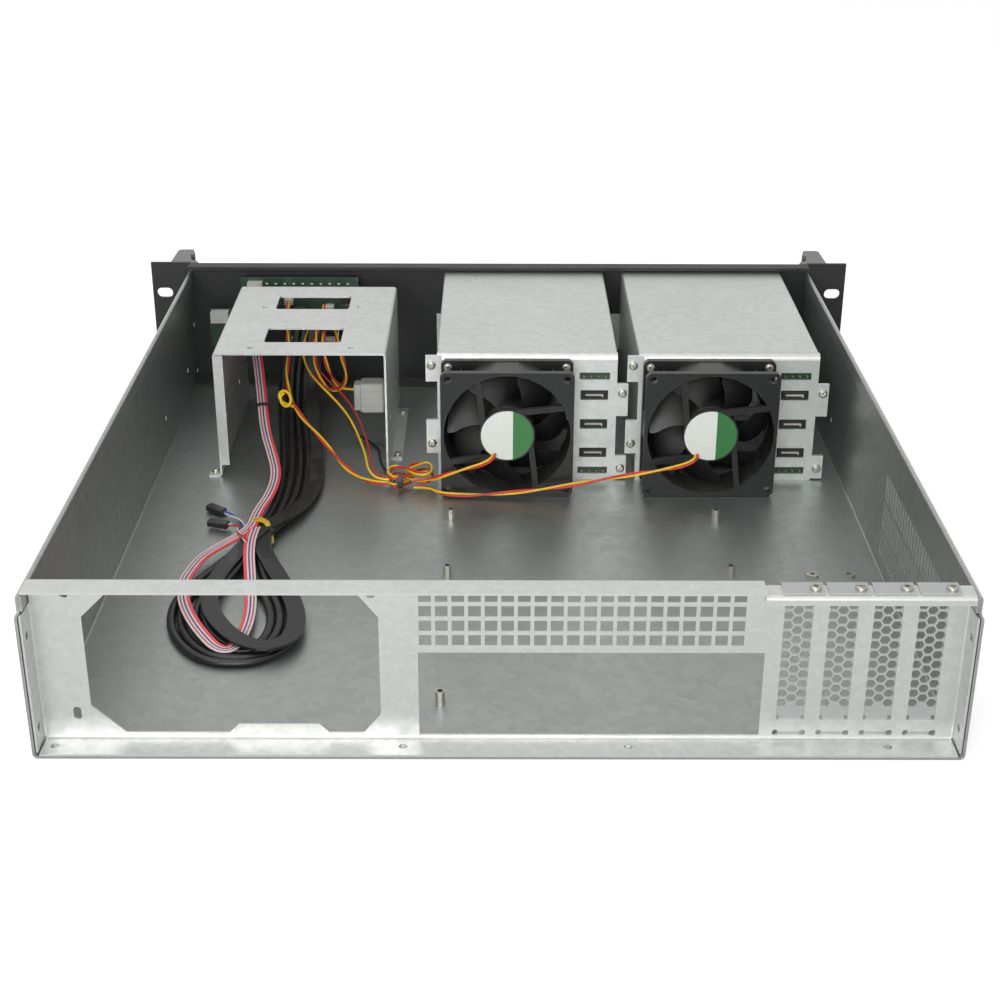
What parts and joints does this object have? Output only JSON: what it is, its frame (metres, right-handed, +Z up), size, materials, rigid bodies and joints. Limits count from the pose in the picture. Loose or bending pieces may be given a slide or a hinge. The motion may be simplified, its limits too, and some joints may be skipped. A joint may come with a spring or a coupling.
{
  "type": "rackmount server case",
  "caption": "Open-topped 2U rackmount server case: folded steel tray, drive cages with hot-swap trays and fans, drive bracket, perforated rear panel, rack ears, handles and tied cables.",
  "frame": {"origin": "middle of the footprint on the resting surface, cables left out", "axes": "+Z up, +Y to the rear panel, -Y to the rack ears and handles, +X to the power supply's side"},
  "size_m": [0.4826, 0.511, 0.0881],
  "materials": {
    "galvanised_sheet": "satin",
    "zinc_sheet": "satin",
    "black_paint": "satin",
    "black_plastic": "satin",
    "fan_plastic": "gloss",
    "tray_black": "satin",
    "plated_steel": "satin",
    "circuit_board": "satin",
    "white_plastic": "satin",
    "lens_plastic": "gloss",
    "connector_black": "satin",
    "black_cable": "satin",
    "ribbon_red_white": "satin",
    "tie_yellow": "satin",
    "yellow_wire": "satin",
    "blue_wire": "satin"
  },
  "bodies": {
    "case": {"base_tray": "galvanised_sheet", "board_standoffs": "plated_steel", "press_nuts": "plated_steel", "rear_panel": "zinc_sheet", "front_panel": "black_paint", "handle_left": "black_plastic", "handle_right": "black_plastic", "front_io_board": "circuit_board", "control_board": "circuit_board", "board_headers": "white_plastic", "usb_board": "circuit_board", "usb_sockets": "plated_steel", "status_leds": "lens_plastic", "sata_sockets": "connector_black", "power_pins": "plated_steel", "drive_connectors": "connector_black", "fan_screws": "plated_steel", "drive_bracket": "zinc_sheet", "case_screws": "plated_steel", "slot_cover_1": "zinc_sheet", "slot_cover_2": "zinc_sheet", "slot_cover_3": "zinc_sheet", "slot_cover_4": "zinc_sheet", "drive_cage_1": "zinc_sheet", "drive_cage_2": "zinc_sheet", "fan_plate_1": "zinc_sheet", "fan_plate_2": "zinc_sheet", "backplane_1": "circuit_board", "backplane_2": "circuit_board", "fan_frame_1": "fan_plastic", "fan_frame_2": "fan_plastic", "cable_bundle": "black_cable", "ribbon_cable": "ribbon_red_white", "cable_coil": "black_cable", "cable_tie": "tie_yellow", "fan_lead_1": "yellow_wire", "fan_lead_2": "yellow_wire", "lead_loops": "yellow_wire", "board_lead": "yellow_wire", "signal_lead": "yellow_wire", "power_lead": "yellow_wire", "power_plug": "white_plastic", "signal_wires": "blue_wire", "signal_plugs": "connector_black"},
    "rotor_1": {"fan_rotor_1": "fan_plastic"},
    "rotor_2": {"fan_rotor_2": "fan_plastic"},
    "power_button": {"power_button": "black_plastic"},
    "reset_button": {"reset_button": "black_plastic"},
    "tray_1": {"drive_tray_1": "tray_black"},
    "lever_1": {"tray_lever_1": "tray_black"},
    "tray_2": {"drive_tray_2": "tray_black"},
    "lever_2": {"tray_lever_2": "tray_black"},
    "tray_3": {"drive_tray_3": "tray_black"},
    "lever_3": {"tray_lever_3": "tray_black"},
    "tray_4": {"drive_tray_4": "tray_black"},
    "lever_4": {"tray_lever_4": "tray_black"},
    "tray_5": {"drive_tray_5": "tray_black"},
    "lever_5": {"tray_lever_5": "tray_black"},
    "tray_6": {"drive_tray_6": "tray_black"},
    "lever_6": {"tray_lever_6": "tray_black"}
  },
  "joints": [
    {"name": "fan_1_spin", "type": "hinge", "parent": "case", "child": "rotor_1", "pos_m": [-0.005, -0.04, 0.0415], "axis": [0, 1, 0], "continuous": true},
    {"name": "fan_2_spin", "type": "hinge", "parent": "case", "child": "rotor_2", "pos_m": [-0.1275, -0.04, 0.0415], "axis": [0, 1, 0], "continuous": true},
    {"name": "tray_1_slide", "type": "slide", "parent": "case", "child": "tray_1", "axis": [0, -1, 0], "range_m": [0, 0.14]},
    {"name": "lever_1_swing", "type": "hinge", "parent": "tray_1", "child": "lever_1", "pos_m": [0.0299, -0.2241, 0.01517], "axis": [0, 0, 1], "range_deg": [0, 75]},
    {"name": "tray_2_slide", "type": "slide", "parent": "case", "child": "tray_2", "axis": [0, -1, 0], "range_m": [0, 0.14]},
    {"name": "lever_2_swing", "type": "hinge", "parent": "tray_2", "child": "lever_2", "pos_m": [0.0299, -0.2241, 0.0421], "axis": [0, 0, 1], "range_deg": [0, 75]},
    {"name": "tray_3_slide", "type": "slide", "parent": "case", "child": "tray_3", "axis": [0, -1, 0], "range_m": [0, 0.14]},
    {"name": "lever_3_swing", "type": "hinge", "parent": "tray_3", "child": "lever_3", "pos_m": [0.0299, -0.2241, 0.06903], "axis": [0, 0, 1], "range_deg": [0, 75]},
    {"name": "tray_4_slide", "type": "slide", "parent": "case", "child": "tray_4", "axis": [0, -1, 0], "range_m": [0, 0.14]},
    {"name": "lever_4_swing", "type": "hinge", "parent": "tray_4", "child": "lever_4", "pos_m": [-0.0926, -0.2241, 0.01517], "axis": [0, 0, 1], "range_deg": [0, 75]},
    {"name": "tray_5_slide", "type": "slide", "parent": "case", "child": "tray_5", "axis": [0, -1, 0], "range_m": [0, 0.14]},
    {"name": "lever_5_swing", "type": "hinge", "parent": "tray_5", "child": "lever_5", "pos_m": [-0.0926, -0.2241, 0.0421], "axis": [0, 0, 1], "range_deg": [0, 75]},
    {"name": "tray_6_slide", "type": "slide", "parent": "case", "child": "tray_6", "axis": [0, -1, 0], "range_m": [0, 0.14]},
    {"name": "lever_6_swing", "type": "hinge", "parent": "tray_6", "child": "lever_6", "pos_m": [-0.0926, -0.2241, 0.06903], "axis": [0, 0, 1], "range_deg": [0, 75]},
    {"name": "power_button_press", "type": "slide", "parent": "case", "child": "power_button", "axis": [0, 1, 0], "range_m": [0, 0.0015], "stiffness_N_per_m": 600, "springref_m": -0.001},
    {"name": "reset_button_press", "type": "slide", "parent": "case", "child": "reset_button", "axis": [0, 1, 0], "range_m": [0, 0.0015], "stiffness_N_per_m": 600, "springref_m": -0.001}
  ]
}
